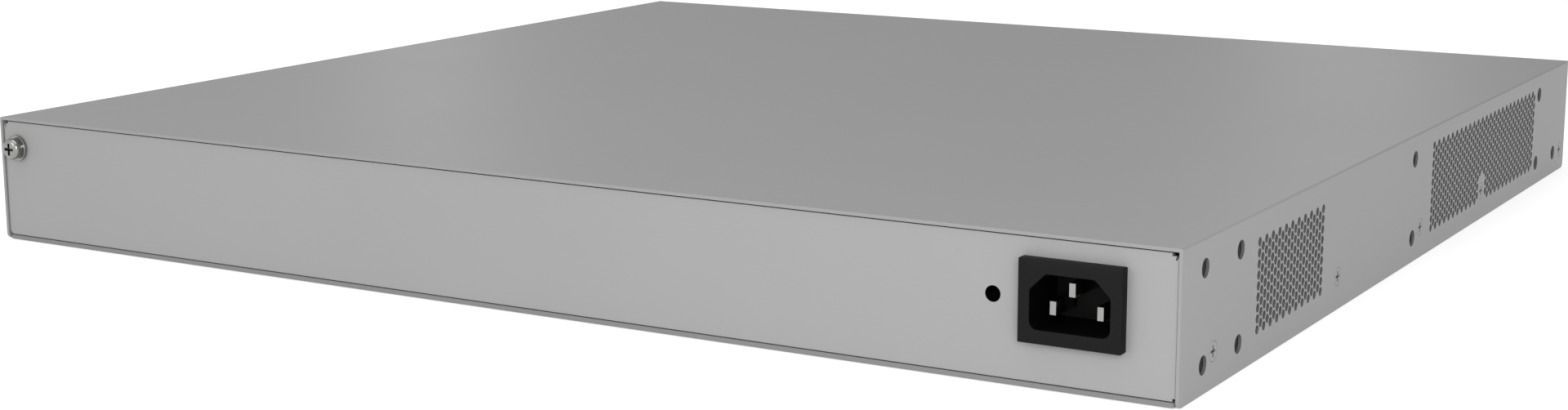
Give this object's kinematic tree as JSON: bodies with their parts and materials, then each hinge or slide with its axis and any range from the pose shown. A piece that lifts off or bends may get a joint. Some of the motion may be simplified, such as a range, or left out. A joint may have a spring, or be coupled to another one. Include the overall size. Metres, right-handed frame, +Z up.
{
  "type": "rackmount network switch",
  "caption": "Low, wide grey steel rack case with modular network ports in front, vented side walls, and a mains inlet and earth screw behind.",
  "frame": {"origin": "under the middle of the whole object's box, on the surface that it rests on", "axes": "+Z up, +X along the width to the right as seen from the front, +Y from the port face to the mains inlet"},
  "size_m": [0.442, 0.4244, 0.0436],
  "materials": {
    "grey_paint": "powder-coated sheet steel, neutral mid grey, semi-gloss with a faint fine texture",
    "bare_steel": "plated or bare steel of screws, washers and port shells",
    "black_plastic": "moulded black thermoplastic, satin",
    "pin_metal": "nickel-plated brass contact blades",
    "green_board": "glass-epoxy circuit board under green solder mask",
    "chip_resin": "black moulding compound",
    "aluminium": "extruded aluminium heat sink",
    "clear_plastic": "clear acrylic light guide",
    "ferrite": "dark ferrite core with wound wire",
    "capacitor_sleeve": "dark shrink sleeve over an aluminium can",
    "brown_wire": "brown insulated lead",
    "blue_wire": "blue insulated lead",
    "earth_wire": "green and yellow insulated earth lead"
  },
  "bodies": {
    "case": {"top_cover": "grey_paint", "base_tray": "grey_paint", "rear_panel": "grey_paint", "front_panel": "grey_paint", "cover_screw_left_1": "grey_paint", "cover_screw_right_1": "grey_paint", "cover_screw_left_2": "grey_paint", "cover_screw_right_2": "grey_paint", "cover_screw_left_3": "grey_paint", "cover_screw_right_3": "grey_paint", "cover_screw_left_4": "grey_paint", "cover_screw_right_4": "grey_paint", "cover_screw_left_5": "grey_paint", "cover_screw_right_5": "grey_paint", "earth_screw": "bare_steel", "earth_washer": "bare_steel", "inlet_housing": "black_plastic", "inlet_pin_line": "pin_metal", "inlet_pin_neutral": "pin_metal", "inlet_pin_earth": "pin_metal", "port_block_left": "bare_steel", "port_block_right": "bare_steel", "console_jack": "bare_steel", "management_jack": "bare_steel", "sfp_cage_1": "bare_steel", "sfp_cage_2": "bare_steel", "sfp_cage_3": "bare_steel", "sfp_cage_4": "bare_steel", "mode_switch": "black_plastic", "reset_switch": "black_plastic", "light_guide": "clear_plastic", "main_board": "green_board", "power_board": "green_board", "board_screw_1": "bare_steel", "board_screw_2": "bare_steel", "board_screw_3": "bare_steel", "board_screw_4": "bare_steel", "switch_chip": "chip_resin", "port_chip_left": "chip_resin", "port_chip_right": "chip_resin", "processor_chip": "chip_resin", "memory_chip": "chip_resin", "switch_heat_sink": "aluminium", "power_heat_sink_1": "aluminium", "power_heat_sink_2": "aluminium", "fan_frame_1": "black_plastic", "fan_frame_2": "black_plastic", "power_harness": "black_plastic", "transformer": "ferrite", "boost_choke": "ferrite", "filter_choke": "ferrite", "bulk_capacitor_1": "capacitor_sleeve", "bulk_capacitor_2": "capacitor_sleeve", "line_lead": "brown_wire", "neutral_lead": "blue_wire", "earth_lead": "earth_wire"},
    "fan_rotor_1": {"fan_rotor_1": "black_plastic"},
    "fan_rotor_2": {"fan_rotor_2": "black_plastic"},
    "mode_button": {"mode_button": "black_plastic"},
    "reset_button": {"reset_button": "black_plastic"}
  },
  "joints": [
    {"name": "fan_1_spin", "type": "hinge", "parent": "case", "child": "fan_rotor_1", "pos_m": [0.2042, -0.0636, 0.0218], "axis": [1, 0, 0], "continuous": true},
    {"name": "fan_2_spin", "type": "hinge", "parent": "case", "child": "fan_rotor_2", "pos_m": [0.2042, -0.1136, 0.0218], "axis": [1, 0, 0], "continuous": true},
    {"name": "mode_press", "type": "slide", "parent": "case", "child": "mode_button", "axis": [0, 1, 0], "range_m": [0, 0.0008], "stiffness_N_per_m": 2000},
    {"name": "reset_press", "type": "slide", "parent": "case", "child": "reset_button", "axis": [0, 1, 0], "range_m": [0, 0.0005], "stiffness_N_per_m": 2500}
  ]
}
